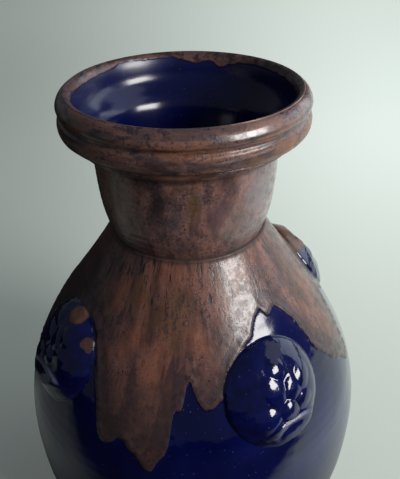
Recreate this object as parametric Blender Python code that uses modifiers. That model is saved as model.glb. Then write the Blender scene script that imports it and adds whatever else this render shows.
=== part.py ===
"""A stoneware vase, built the way a potter builds it: thrown sections luted one on another.

From the floor up it has a foot ring, a bulbous body, a cup-shaped neck, a collar band and a lip roll.
Each section sits on the one below in a stepped seat, and four moulded rosette medallions are luted
to the shoulder. Metres, +Z up, origin at the centre of the foot's resting face.
"""

import math

import bmesh
import bpy
from mathutils import Matrix, Vector

# Seats between the thrown sections
SEAM_GAP = 0.0003
REGISTER_DEPTH = 0.002

# Foot ring
FOOT_RADIUS = 0.050
FOOT_HEIGHT = 0.008
FOOT_WIDTH = 0.009
FOOT_EDGE = 0.0015

# Body
BASE_LEDGE = 0.002
BELLY_RADIUS = 0.0925
BELLY_HEIGHT = 0.080
SHOULDER_HEIGHT = 0.116
MOUTH_RADIUS = 0.0371
MOUTH_WALL = 0.0062
BODY_WALL = 0.006
FLOOR_THICKNESS = 0.008

# Neck
NECK_BASE_RADIUS = 0.0364
NECK_TOP_RADIUS = 0.0421
NECK_HEIGHT = 0.0447
NECK_WALL = 0.0038

# Collar band
COLLAR_RADIUS = 0.0553
COLLAR_HEIGHT = 0.0130
BAND_HEIGHT = 0.0098
BAND_BULGE = 0.0030
BEAD_RADIUS = 0.0475
BEAD_EDGE = 0.0005
RIM_WALL = 0.0075

# Lip roll
LIP_RADIUS = 0.055
LIP_HEIGHT = 0.0078
GROOVE_DEPTH = 0.0009

# Medallions
MEDALLION_RADIUS = 0.0242
MEDALLION_HEIGHT = 0.0072
MEDALLION_EDGE = 0.0018
PETAL_COUNT = 5
PETAL_LENGTH = 0.0155
PETAL_WIDTH = 0.0130
PETAL_HEIGHT = 0.0022
BOSS_RADIUS = 0.0036
BOSS_HEIGHT = 0.0024

# Where each medallion sits: its turn about the axis in degrees from the front, and its share of the way
# down the shoulder. A potter sets them by eye, so they are not quite a quarter turn apart.
MEDALLION_TURNS = (0.7, 89.5, 181.0, 270.0)
MEDALLION_SEAT_SHARES = (0.505, 0.420, 0.480, 0.475)

# Where the curves of the body, neck and rim are drawn to, as shares of their own heights and radii
BELLY_UP_SHARE = 0.46
SHOULDER_DOWN_SHARE = 0.36
SHOULDER_SLOPE_SHARE = 0.585
BELLY_DOWN_SHARE = 0.68
BASE_UP_SHARE = 0.24
BASE_SLOPE_SHARE = 1.45
NECK_FULL_SHARE = 0.51
NECK_TUCK_SHARE = 0.165
NECK_SLOPE_SHARE = 0.57
BORE_FULL_SHARE = 0.32
BORE_FULL_RADIUS_SHARE = 0.948
FLARE_LEAN_SHARE = 0.09
FLARE_DOWN_SHARE = 0.47
FLARE_UP_SHARE = 0.21
PETAL_RING_SHARE = 0.46
PETAL_SINK_SHARE = 0.45

# How finely the round shapes are cut
TURN_STEPS = 40
CURVE_STEPS = 7
ARC_STEPS = 5
DOME_SEGMENTS = 28
DOME_RINGS = 10
PETAL_SEGMENTS = 12
PETAL_RINGS = 6

# Colours and surfaces: base colour, roughness
COBALT_GLAZE = ((0.012, 0.018, 0.110, 1.0), 0.16)
RUST_GLAZE = ((0.190, 0.100, 0.075, 1.0), 0.38)
BARE_CLAY = ((0.300, 0.200, 0.140, 1.0), 0.85)

# Heights that follow from the sizes above
BODY_BASE = FOOT_HEIGHT + SEAM_GAP
BELLY_LEVEL = FOOT_HEIGHT + BELLY_HEIGHT
MOUTH_LEVEL = BELLY_LEVEL + SHOULDER_HEIGHT
NECK_BASE = MOUTH_LEVEL + SEAM_GAP
NECK_TOP = NECK_BASE + NECK_HEIGHT
COLLAR_BASE = NECK_TOP + SEAM_GAP
COLLAR_TOP = COLLAR_BASE + COLLAR_HEIGHT
LIP_BASE = COLLAR_TOP + SEAM_GAP
LIP_TOP = LIP_BASE + LIP_HEIGHT

# Radii that follow
FOOT_BORE = FOOT_RADIUS - FOOT_WIDTH
BASE_RADIUS = FOOT_RADIUS + BASE_LEDGE
MOUTH_BORE = MOUTH_RADIUS - MOUTH_WALL
NECK_BASE_BORE = MOUTH_BORE
NECK_TOP_BORE = NECK_TOP_RADIUS - NECK_WALL
GROOVE_RADIUS = min(COLLAR_RADIUS, LIP_RADIUS) - GROOVE_DEPTH
RIM_BORE = GROOVE_RADIUS - RIM_WALL
MOUTH_SEAT = (MOUTH_BORE + min(MOUTH_RADIUS, NECK_BASE_RADIUS)) / 2
NECK_SEAT = (NECK_TOP_BORE + NECK_TOP_RADIUS) / 2
RIM_SEAT = (RIM_BORE + GROOVE_RADIUS) / 2


def bezier(start, leave, arrive, end, steps):
    """Points along a cubic curve in the (radius, height) plane, both ends included."""
    points = []
    for step in range(steps + 1):
        t = step / steps
        s = 1 - t
        weights = (s**3, 3 * s * s * t, 3 * s * t * t, t**3)
        corners = (start, leave, arrive, end)
        points.append(tuple(sum(w * c[axis] for w, c in zip(weights, corners)) for axis in (0, 1)))
    return points


def arc(centre, radii, first, last, steps):
    """Points along an elliptical arc; angles in degrees, 0 outwards and 90 upwards."""
    points = []
    for step in range(steps + 1):
        angle = math.radians(first + (last - first) * step / steps)
        across = centre[0] + radii[0] * math.cos(angle)
        points.append((across, centre[1] + radii[1] * math.sin(angle)))
    return points


def shoulder_corners(belly, mouth):
    """The four corners of the curve from the mouth down to the belly, for either face of the wall."""
    reach = SHOULDER_HEIGHT * SHOULDER_DOWN_SHARE
    arrive = SHOULDER_HEIGHT * BELLY_UP_SHARE
    return (
        (mouth, MOUTH_LEVEL),
        (mouth + reach * SHOULDER_SLOPE_SHARE, MOUTH_LEVEL - reach),
        (belly, BELLY_LEVEL + arrive),
        (belly, BELLY_LEVEL),
    )


def shoulder_seat(t):
    """The point a share t of the way down the shoulder, and the outward direction there."""
    corners = shoulder_corners(BELLY_RADIUS, MOUTH_RADIUS)
    s = 1 - t
    weights = (s**3, 3 * s * s * t, 3 * s * t * t, t**3)
    point = [sum(w * c[axis] for w, c in zip(weights, corners)) for axis in (0, 1)]
    slopes = (-s * s, s * s - 2 * s * t, 2 * s * t - t * t, t * t)
    run = [sum(w * c[axis] for w, c in zip(slopes, corners)) for axis in (0, 1)]
    outward = Vector((-run[1], 0, run[0])).normalized()
    return Vector((point[0], 0, point[1])), outward


def outer_body_curve():
    """The outer face of the body, from the mouth down to the base."""
    drop = BELLY_LEVEL - BODY_BASE
    lift = drop * BASE_UP_SHARE
    shoulder = bezier(*shoulder_corners(BELLY_RADIUS, MOUTH_RADIUS), 2 * CURVE_STEPS)
    tuck = bezier(
        (BELLY_RADIUS, BELLY_LEVEL),
        (BELLY_RADIUS, BELLY_LEVEL - drop * BELLY_DOWN_SHARE),
        (BASE_RADIUS + lift * BASE_SLOPE_SHARE, BODY_BASE + lift),
        (BASE_RADIUS, BODY_BASE),
        CURVE_STEPS + 3,
    )
    return shoulder + tuck[1:]


def inner_body_curve():
    """The inner face of the body, from the middle of its floor up to the mouth."""
    floor = BODY_BASE + FLOOR_THICKNESS
    drop = BELLY_LEVEL - floor
    belly = BELLY_RADIUS - BODY_WALL
    rise = bezier(
        (BASE_RADIUS - BODY_WALL, floor),
        (BASE_RADIUS + drop * BASE_UP_SHARE, floor),
        (belly, BELLY_LEVEL - drop * BELLY_DOWN_SHARE),
        (belly, BELLY_LEVEL),
        CURVE_STEPS,
    )
    shoulder = bezier(*shoulder_corners(belly, MOUTH_BORE), CURVE_STEPS + 2)
    return [(0, floor)] + rise + shoulder[::-1][1:]


def seat_below(bore, middle, outside, level):
    """The top of a lower section: it stands up inside the middle as a register. Inner edge first."""
    step = middle - SEAM_GAP / 2
    return [(bore, level + REGISTER_DEPTH), (step, level + REGISTER_DEPTH), (step, level), (outside, level)]


def seat_above(bore, middle, outside, level):
    """The foot of an upper section, cut back over that register. Outer edge first."""
    step = middle + SEAM_GAP / 2
    relief = level + REGISTER_DEPTH
    return [(outside, level), (step, level), (step, relief), (bore, relief)]


def turned(name, outline, closed, material, home):
    """A round piece: the outline in (radius, height) is turned once about the vertical axis."""
    mesh = bpy.data.meshes.new(name)
    count = len(outline)
    edges = [(i, (i + 1) % count) for i in range(count if closed else count - 1)]
    mesh.from_pydata([(radius, 0, height) for radius, height in outline], edges, [])
    piece = bpy.data.objects.new(name, mesh)
    home.objects.link(piece)
    screw = piece.modifiers.new("Turning", "SCREW")
    screw.axis = "Z"
    screw.angle = math.tau
    screw.steps = TURN_STEPS
    screw.render_steps = TURN_STEPS
    screw.use_merge_vertices = True
    screw.merge_threshold = SEAM_GAP / 10
    screw.use_smooth_shade = True
    if material:
        mesh.materials.append(material)
    return piece


def glaze(name, look):
    """A plain material with the colour and roughness of one glaze, or of the bare clay."""
    colour, roughness = look
    material = bpy.data.materials.new(name)
    material.use_nodes = True
    shader = material.node_tree.nodes["Principled BSDF"]
    shader.inputs["Base Color"].default_value = colour
    shader.inputs["Roughness"].default_value = roughness
    shader.inputs["Metallic"].default_value = 0
    material.diffuse_color = colour
    return material


def foot_ring(material, home):
    """The ring the vase stands on, with its two resting edges eased."""
    resting = FOOT_BORE + FOOT_EDGE
    inside = arc((resting, FOOT_EDGE), (FOOT_EDGE, FOOT_EDGE), 270, 180, ARC_STEPS - 2)
    outer_edge = arc((FOOT_RADIUS - FOOT_EDGE, FOOT_EDGE), (FOOT_EDGE, FOOT_EDGE), 0, -90, ARC_STEPS - 2)
    outline = [(FOOT_RADIUS, FOOT_HEIGHT)] + outer_edge + inside + [(FOOT_BORE, FOOT_HEIGHT)]
    return turned("foot_ring", outline, True, material, home)


def body(material, home):
    """The bulbous body: a closed floor with a spigot that drops into the foot ring, and an open mouth."""
    spigot = FOOT_BORE - SEAM_GAP
    underside = [(spigot, BODY_BASE), (spigot, BODY_BASE - REGISTER_DEPTH), (0, BODY_BASE - REGISTER_DEPTH)]
    mouth = seat_below(MOUTH_BORE, MOUTH_SEAT, MOUTH_RADIUS, MOUTH_LEVEL)
    outline = inner_body_curve()[:-1] + mouth + outer_body_curve()[1:] + underside
    return turned("body", outline, False, material, home)


def neck(material, home):
    """The cup-shaped neck: full at the top, drawn in where it meets the shoulder."""
    tuck = NECK_HEIGHT * NECK_TUCK_SHARE
    full = (NECK_TOP_RADIUS, NECK_TOP - NECK_HEIGHT * NECK_FULL_SHARE)
    drawn_in = (NECK_BASE_RADIUS + tuck * NECK_SLOPE_SHARE, NECK_BASE + tuck)
    outside = bezier((NECK_TOP_RADIUS, NECK_TOP), full, drawn_in, (NECK_BASE_RADIUS, NECK_BASE), CURVE_STEPS)
    foot = seat_above(NECK_BASE_BORE, MOUTH_SEAT, NECK_BASE_RADIUS, NECK_BASE)
    inside = bezier(
        foot[-1],
        (NECK_BASE_BORE + tuck * NECK_SLOPE_SHARE, foot[-1][1] + tuck),
        (NECK_TOP_BORE * BORE_FULL_RADIUS_SHARE, NECK_TOP - NECK_HEIGHT * BORE_FULL_SHARE),
        (NECK_TOP_BORE, NECK_TOP + REGISTER_DEPTH),
        CURVE_STEPS - 1,
    )
    head = seat_below(NECK_TOP_BORE, NECK_SEAT, NECK_TOP_RADIUS, NECK_TOP)
    return turned("neck", head[1:] + outside[1:-1] + foot + inside[1:], True, material, home)


def collar(material, home):
    """The band under the lip. It overhangs the neck, with a thin bead under its lower edge."""
    head = seat_below(RIM_BORE, RIM_SEAT, GROOVE_RADIUS, COLLAR_TOP)
    foot = seat_above(NECK_TOP_BORE, NECK_SEAT, NECK_TOP_RADIUS, COLLAR_BASE)
    band_middle = (COLLAR_RADIUS - BAND_BULGE, COLLAR_TOP - BAND_HEIGHT / 2)
    band = arc(band_middle, (BAND_BULGE, BAND_HEIGHT / 2), 55, -75, ARC_STEPS + 1)
    under_band = COLLAR_TOP - BAND_HEIGHT
    bead = [
        (BEAD_RADIUS, under_band),
        (BEAD_RADIUS, COLLAR_BASE + BEAD_EDGE),
        (BEAD_RADIUS - BEAD_EDGE, COLLAR_BASE),
    ]
    rise = head[0][1] - foot[-1][1]
    spread = RIM_BORE - NECK_TOP_BORE
    flare = bezier(
        foot[-1],
        (NECK_TOP_BORE + spread * FLARE_LEAN_SHARE, foot[-1][1] + rise * FLARE_UP_SHARE),
        (RIM_BORE - spread * FLARE_LEAN_SHARE, head[0][1] - rise * FLARE_DOWN_SHARE),
        head[0],
        CURVE_STEPS,
    )
    return turned("collar", head[1:] + band + bead + foot + flare[1:], True, material, home)


def lip(material, home):
    """The rolled lip, fullest half way up, with its crest towards the opening."""
    foot = seat_above(RIM_BORE, RIM_SEAT, GROOVE_RADIUS, LIP_BASE)
    middle = LIP_BASE + LIP_HEIGHT / 2
    half_width = (LIP_RADIUS - RIM_BORE) / 2
    centre = (RIM_BORE + half_width, middle)
    roll = arc(centre, (half_width, LIP_HEIGHT / 2), 180, -50, 3 * ARC_STEPS)
    return turned("lip", roll + foot, True, material, home)


def flattened_ball(radii, place, segments, rings):
    """A ball squashed to three radii and put in place, as a mesh to be joined with others."""
    ball = bmesh.new()
    bmesh.ops.create_uvsphere(ball, u_segments=segments, v_segments=rings, radius=1)
    bmesh.ops.transform(ball, matrix=place @ Matrix.Diagonal((*radii, 1)), verts=ball.verts)
    return ball


def helper(name, shape, home):
    """A wire-drawn object that only shapes other pieces."""
    mesh = bpy.data.meshes.new(name)
    shape.to_mesh(mesh)
    shape.free()
    piece = bpy.data.objects.new(name, mesh)
    piece.hide_render = True
    piece.display_type = "WIRE"
    home.objects.link(piece)
    return piece


def dome_shape():
    """How far the dome's widest ring lies below the seat, and the dome's height above that ring."""
    shoulder_drop = MEDALLION_RADIUS**2 / (2 * BELLY_RADIUS)
    sink = max(shoulder_drop - MEDALLION_EDGE, 0)
    return sink, MEDALLION_HEIGHT + sink


def petal_place(index):
    """Where one petal lies on the dome, leaning back with it."""
    sink, height = dome_shape()
    out = MEDALLION_RADIUS * PETAL_RING_SHARE
    share = PETAL_RING_SHARE
    level = height * math.sqrt(1 - share * share) - sink
    lean = math.atan(height * share / (MEDALLION_RADIUS * math.sqrt(1 - share * share)))
    around = Matrix.Rotation(math.tau * index / PETAL_COUNT, 4, "Z")
    outwards = Matrix.Translation((out, 0, level - PETAL_HEIGHT * PETAL_SINK_SHARE))
    return around @ outwards @ Matrix.Rotation(lean, 4, "Y")


def medallion_parts(cutters):
    """The parts of the rosette before they are joined: the dome as a shape, the petals and boss as helpers."""
    sink, height = dome_shape()
    dome = flattened_ball(
        (MEDALLION_RADIUS, MEDALLION_RADIUS, height),
        Matrix.Translation((0, 0, -sink)),
        DOME_SEGMENTS,
        DOME_RINGS,
    )
    reliefs = []
    for index in range(PETAL_COUNT):
        radii = (PETAL_LENGTH / 2, PETAL_WIDTH / 2, PETAL_HEIGHT)
        petal = flattened_ball(radii, petal_place(index), PETAL_SEGMENTS, PETAL_RINGS)
        reliefs.append(helper(f"petal_{index + 1}", petal, cutters))
    boss_radii = (BOSS_RADIUS, BOSS_RADIUS, BOSS_HEIGHT * 2)
    boss = flattened_ball(
        boss_radii, Matrix.Translation((0, 0, MEDALLION_HEIGHT - BOSS_HEIGHT)), PETAL_SEGMENTS, PETAL_RINGS
    )
    reliefs.append(helper("boss", boss, cutters))
    return dome, reliefs


def pressed_rosette(cutters):
    """One mesh of the whole rosette, its dome, petals and boss joined into one closed surface."""
    dome, reliefs = medallion_parts(cutters)
    blank = helper("rosette_blank", dome, cutters)
    for relief in reliefs:
        join = blank.modifiers.new(f"Join {relief.name}", "BOOLEAN")
        join.operation = "UNION"
        join.object = relief
    bpy.context.view_layer.update()
    graph = bpy.context.evaluated_depsgraph_get()
    mesh = bpy.data.meshes.new_from_object(blank.evaluated_get(graph))
    mesh.name = "rosette"
    return mesh


def medallions(material, home, cutters):
    """The medallions round the shoulder, each cut at the back to the curve that it is pressed on to."""
    rosette = pressed_rosette(cutters)
    rosette.materials.clear()
    rosette.materials.append(material)
    rosette.shade_smooth()
    envelope_outline = [(0, MOUTH_LEVEL + SEAM_GAP)] + outer_body_curve() + [(0, BODY_BASE - SEAM_GAP)]
    envelope = turned("body_envelope", envelope_outline, False, None, cutters)
    envelope.hide_render = True
    envelope.display_type = "WIRE"
    clearance = envelope.modifiers.new("Clearance", "DISPLACE")
    clearance.strength = SEAM_GAP
    clearance.mid_level = 0
    for index, (turn, share) in enumerate(zip(MEDALLION_TURNS, MEDALLION_SEAT_SHARES)):
        piece = bpy.data.objects.new(f"medallion_{index + 1}", rosette)
        home.objects.link(piece)
        seat, outward = shoulder_seat(share)
        upright = Vector((0, 1, 0)).cross(outward) * -1
        turn_to_seat = Matrix((upright, Vector((0, -1, 0)), outward)).transposed().to_4x4()
        around = Matrix.Rotation(math.radians(turn) - math.pi / 2, 4, "Z")
        piece.matrix_world = around @ Matrix.Translation(seat) @ turn_to_seat
        press = piece.modifiers.new("Pressed on", "BOOLEAN")
        press.operation = "DIFFERENCE"
        press.object = envelope


def main():
    for thing in list(bpy.data.objects):
        bpy.data.objects.remove(thing)
    vase = bpy.data.collections.new("vase")
    cutters = bpy.data.collections.new("cutters")
    for collection in (vase, cutters):
        bpy.context.scene.collection.children.link(collection)
    cobalt = glaze("cobalt_glaze", COBALT_GLAZE)
    rust = glaze("rust_glaze", RUST_GLAZE)
    clay = glaze("bare_clay", BARE_CLAY)
    foot_ring(clay, vase)
    body(cobalt, vase)
    neck(rust, vase)
    collar(rust, vase)
    lip(rust, vase)
    medallions(cobalt, vase, cutters)


main()
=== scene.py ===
import math

import bpy
from mathutils import Matrix, Vector


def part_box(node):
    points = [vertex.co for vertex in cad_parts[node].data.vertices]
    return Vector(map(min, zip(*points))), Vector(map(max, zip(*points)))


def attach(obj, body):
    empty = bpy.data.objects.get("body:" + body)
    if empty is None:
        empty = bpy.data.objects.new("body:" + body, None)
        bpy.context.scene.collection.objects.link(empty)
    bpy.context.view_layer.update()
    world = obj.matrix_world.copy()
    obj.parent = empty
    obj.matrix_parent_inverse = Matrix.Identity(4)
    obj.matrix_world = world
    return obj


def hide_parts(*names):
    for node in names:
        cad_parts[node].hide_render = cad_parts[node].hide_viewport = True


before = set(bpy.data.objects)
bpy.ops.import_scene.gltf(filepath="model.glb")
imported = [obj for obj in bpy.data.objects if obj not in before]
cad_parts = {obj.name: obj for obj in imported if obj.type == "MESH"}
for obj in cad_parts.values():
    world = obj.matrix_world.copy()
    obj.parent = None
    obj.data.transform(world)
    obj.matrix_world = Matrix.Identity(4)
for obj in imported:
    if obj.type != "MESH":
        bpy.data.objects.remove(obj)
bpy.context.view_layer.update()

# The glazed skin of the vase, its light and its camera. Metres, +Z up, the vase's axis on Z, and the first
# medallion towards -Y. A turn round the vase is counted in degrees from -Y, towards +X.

# Sizes of the thrown sections, as the solids have them
SEAM_GAP = 0.0003
FOOT_EDGE = 0.0015
FOOT_WIDTH = 0.009
BASE_LEDGE = 0.002
SHOULDER_HEIGHT = 0.116
MOUTH_RADIUS = 0.0371
MOUTH_WALL = 0.0062
BODY_WALL = 0.006
FLOOR_THICKNESS = 0.008
REGISTER_DEPTH = 0.002
NECK_BASE_RADIUS = 0.0364
BAND_HEIGHT = 0.0098
BAND_BULGE = 0.003
RIM_WALL = 0.0075
GROOVE_DEPTH = 0.0009
MEDALLION_RADIUS = 0.0242

# Where the curves of the sections are drawn to, as shares of their own heights and radii
BELLY_UP_SHARE = 0.46
SHOULDER_DOWN_SHARE = 0.36
SHOULDER_SLOPE_SHARE = 0.585
BELLY_DOWN_SHARE = 0.68
BASE_UP_SHARE = 0.24
BASE_SLOPE_SHARE = 1.45
NECK_FULL_SHARE = 0.51
NECK_TUCK_SHARE = 0.165
NECK_SLOPE_SHARE = 0.57

# The medallions: turn round the vase in degrees, share of the way from the mouth down the shoulder, how far
# across and up its heart lies, and the turn of its flower in radians
MEDALLIONS = (
    (0.7, 0.505, 0.0012, -0.0074, 0.0),
    (89.5, 0.42, 0.0008, -0.0048, 0.5),
    (181.0, 0.48, -0.0012, -0.0056, -0.6),
    (270.0, 0.475, 0.0014, -0.003, 0.35),
)

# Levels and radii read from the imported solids
FOOT_RADIUS, _, FOOT_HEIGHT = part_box("foot_ring")[1]
BODY_LOW, BODY_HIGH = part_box("body")
NECK_LOW, NECK_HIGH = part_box("neck")
COLLAR_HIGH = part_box("collar")[1]
LIP_RADIUS, _, LIP_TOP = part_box("lip")[1]
BODY_BASE = BODY_LOW.z + REGISTER_DEPTH
BELLY_RADIUS = BODY_HIGH.x
MOUTH_LEVEL = BODY_HIGH.z - REGISTER_DEPTH
BELLY_LEVEL = MOUTH_LEVEL - SHOULDER_HEIGHT
NECK_TOP = NECK_HIGH.z - REGISTER_DEPTH
NECK_TOP_RADIUS = NECK_HIGH.x
COLLAR_TOP = COLLAR_HIGH.z - REGISTER_DEPTH
COLLAR_RADIUS = COLLAR_HIGH.x
BASE_RADIUS = FOOT_RADIUS + BASE_LEDGE
MOUTH_BORE = MOUTH_RADIUS - MOUTH_WALL
GROOVE_RADIUS = min(COLLAR_RADIUS, LIP_RADIUS) - GROOVE_DEPTH
RIM_BORE = GROOVE_RADIUS - RIM_WALL

# The glaze closes the seams between the sections half way across their gaps
NECK_SEAM = MOUTH_LEVEL + SEAM_GAP / 2
COLLAR_SEAM = NECK_TOP + SEAM_GAP / 2
LIP_SEAM = COLLAR_TOP + SEAM_GAP / 2
FOOT_SEAM = FOOT_HEIGHT + SEAM_GAP / 2

# How the glaze fills the inner corners between the sections, and how the roll and the ledge are drawn
CREASE_FILL = 0.0007
CREASE_REACH = 0.0024
CORNER_FILL = 0.0009
NOTCH_RADIUS = 0.0538
NOTCH_EASE = 0.0012
ROLL_FULLNESS = 0.4
ROLL_LOW_SHARE = 0.32
LEDGE_RADIUS = 0.0481
LEDGE_CREASE = 0.0474
LEDGE_RISE = 0.0016
LEDGE_DROP = 0.0012

# The inside of the neck and rim: how high above the shoulder's mouth in millimetres, and its lean in degrees
FUNNEL_LEANS = (
    (0, 0), (8, 5), (20, 10), (32, 12.5), (38, 13.5), (41.5, 15), (44.1, 24), (46.7, 36), (49.5, 46),
    (52.8, 38), (55.2, 25), (57.2, 13), (58.5, 9),
)

# How finely the skins are cut, how near two points are one, and from what turn on an edge is sharp
FINE = 0.0004
MEDIUM = 0.001
COARSE = 0.0022
HIDDEN = 0.006
WELD = SEAM_GAP / 30
SHARP_TURN = math.radians(50)

# How much of the thrown unevenness the inside is spared
INSIDE_CALM = 0.92

# Each medallion: a low cushion with a toe of glaze round it, and a flower round a heart off its middle
DOME_HEIGHT = 0.007
DOME_POWER = 4.0
RIM_HEIGHT = 0.0016
TOE_WIDTH = 0.0014
UNDER_SINK = 0.0004
RIM_WAVER = 0.05
MEDALLION_STEPS = 240
PETAL_WAVER = 0.0016
PETAL_SOFTNESS = 0.0003
BOSS_RADIUS = 0.005
BOSS_HEIGHT = 0.0015
LEAF_PLACE = (0.0006, -0.01)
LEAF_LEAN = 8
LEAF_HALF_LENGTH = 0.0128
LEAF_HALF_WIDTH = 0.0046
LEAF_RISE = 0.0004
LEAF_SLOPE = 0.19
LEAF_EDGE = 0.00035

# The petals, five round the boss and two beyond: how far across and up from the heart each lies, its lean in
# degrees, and its half length, half width and height
PETALS = (
    (0.0042, 0.0084, 70, 0.0066, 0.0052, 0.0011),
    (-0.0052, 0.0108, 112, 0.0082, 0.0056, 0.0012),
    (-0.0115, -0.0016, 176, 0.0066, 0.0058, 0.0012),
    (-0.0074, -0.0082, 228, 0.0054, 0.0046, 0.0011),
    (0.0086, 0.0014, 10, 0.0054, 0.0044, 0.0007),
    (-0.0016, 0.0192, 88, 0.0056, 0.0052, 0.0009),
    (0.011, 0.0114, 60, 0.007, 0.005, 0.0011),
)

# How far down the rust glaze ran: turn in degrees and level in millimetres of its lower edge in front, of the
# second coat's edge there, and of its edge behind
FRONT_RUNS = (
    (-79, 171), (-74.5, 168), (-71.5, 163), (-68.5, 157.5), (-65.5, 150), (-63, 142), (-61, 134),
    (-58, 131.2), (-55.5, 132.8), (-53.6, 135.5), (-52, 135), (-50, 132), (-48, 130), (-46, 127.3),
    (-44.5, 124.4), (-43.2, 123.4), (-42, 124.6), (-41.2, 127.2), (-40.3, 129), (-38.6, 132.3), (-37.3, 137),
    (-36.6, 143), (-36.2, 147.4), (-35.2, 149.8), (-33.9, 150), (-33, 151.6), (-32.2, 155.6), (-31.2, 159.6),
    (-30.2, 160.4), (-29.2, 158.2), (-28, 154.4), (-26.6, 151.4), (-25.3, 149.9), (-23.8, 150.3),
    (-21.8, 151.4), (-20, 152.6), (-18.4, 153.8), (-17, 157), (-14, 163.5), (-10, 167), (-6, 170.3),
    (-2.6, 172.5), (0.4, 176), (4, 179), (6.4, 180.4), (8.6, 178), (10.6, 177.2), (13.4, 177.9), (15.6, 178),
    (17.6, 176.4), (20.6, 172.6), (22.8, 169.4), (24.2, 163.5), (25.4, 158.5), (26.6, 152.6), (29, 149),
    (31.7, 144.6), (34.6, 140), (39, 136), (43, 130), (46, 127), (48.6, 130), (51, 141), (54, 151),
)
UPPER_COAT = (
    (-79, 177), (-72, 172), (-65, 163), (-60, 152), (-57, 144), (-54.5, 148), (-52.6, 166), (-51.4, 160),
    (-50.8, 144), (-49.5, 136), (-47.5, 131.5), (-45.5, 132), (-43.5, 137.5), (-41.8, 147), (-40.4, 156),
    (-39.2, 166), (-38, 173), (-36.6, 170), (-35, 164), (-33.5, 166), (-31.5, 163), (-29, 159.5),
    (-26.5, 158.5), (-24, 160), (-21, 163), (-18, 167), (-14, 171), (-8, 178), (0, 185), (10, 187),
    (20, 182), (30, 162), (40, 147), (46, 139), (54, 160),
)
BACK_RUNS = (
    (54, 151), (60, 157), (66, 152), (73, 160), (90, 170), (108, 162), (115, 151), (119, 136), (122.5, 131),
    (126, 136), (130, 150), (135, 155), (139, 146), (142.5, 126), (145.5, 119), (148.5, 123), (152, 142),
    (156, 157), (161, 161), (168, 168), (181, 176), (192, 170), (199, 160), (205, 143), (208.5, 134),
    (212, 136), (216, 150), (221, 157), (226, 149), (230.5, 130), (234.5, 118.5), (238, 121), (241, 136),
    (245, 151), (250, 158), (257, 163), (273, 172), (284, 170),
)

# Where the rust glaze ends inside the lip: turn in degrees, and how far below the crest in millimetres
LIP_RUNS = (
    (-180, 1.9), (-172, 1.6), (-164, 3.0), (-150, 3.7), (-134, 4.1), (-118, 3.4), (-98, 2.6), (-80, 3.6),
    (-52, 4.4), (-30, 3.2), (-8, 4.6), (18, 3.5), (44, 4.4), (66, 4.0), (86, 3.5), (100, 3.2), (111, 3.1),
    (119, 4.1), (124, 5.0), (128, 6.3), (131.5, 4.6), (137, 4.0), (142, 5.2), (148, 4.1), (153, 2.9),
    (162, 2.2), (171, 2.3), (180, 1.9),
)

# Clouds in the glaze on the neck: turn and half width in degrees, level and half height in millimetres, how
# strong, and their colour
NECK_CLOUDS = (
    # Partly painted light: this lighter cloud brightens the neck's left side
    (-78.0, 30.0, 230, 26, 0.8, (0.26, 0.15, 0.118)),
    (-46.0, 8.0, 236, 14, 0.7, (0.014, 0.012, 0.018)),
    (-38.0, 6.5, 227, 8, 0.6, (0.036, 0.04, 0.058)),
    (-25.5, 5.5, 233.5, 12, 0.6, (0.1, 0.052, 0.018)),
    (-12.0, 12.0, 227, 12, 0.65, (0.11, 0.058, 0.066)),
    (-17.0, 4.5, 239, 6, 0.65, (0.018, 0.014, 0.02)),
    (-5.0, 4.5, 238, 6, 0.6, (0.018, 0.014, 0.02)),
    # Partly a painted reflection: this pale cool cloud stands for the haze on the neck's right
    (20.0, 19.0, 232, 20, 0.6, (0.165, 0.15, 0.175)),
)

# Where rust glaze lies on the medallions: turn in degrees, level, radius and reach
DAUBS = (
    (-87.2, 0.1713, 0.0618, 0.0052),
    (-75.2, 0.1645, 0.0662, 0.0031),
    (83.0, 0.1792, 0.0575, 0.013),
    (100.0, 0.1742, 0.0695, 0.007),
    (190.0, 0.178, 0.07, 0.007),
)


def fill(made, inputs):
    """Gives each of a node's inputs its number, colour or wire."""
    for name, value in inputs.items():
        if isinstance(value, Wire):
            value.tree.links.new(value.socket, made.inputs[name])
        else:
            made.inputs[name].default_value = value


def sign(operation, turned=False):
    """One of Python's signs between wires, with its two sides in order or turned round."""

    def between(self, other):
        return self.sum_of(operation, *((other, self) if turned else (self, other)))

    return between


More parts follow.
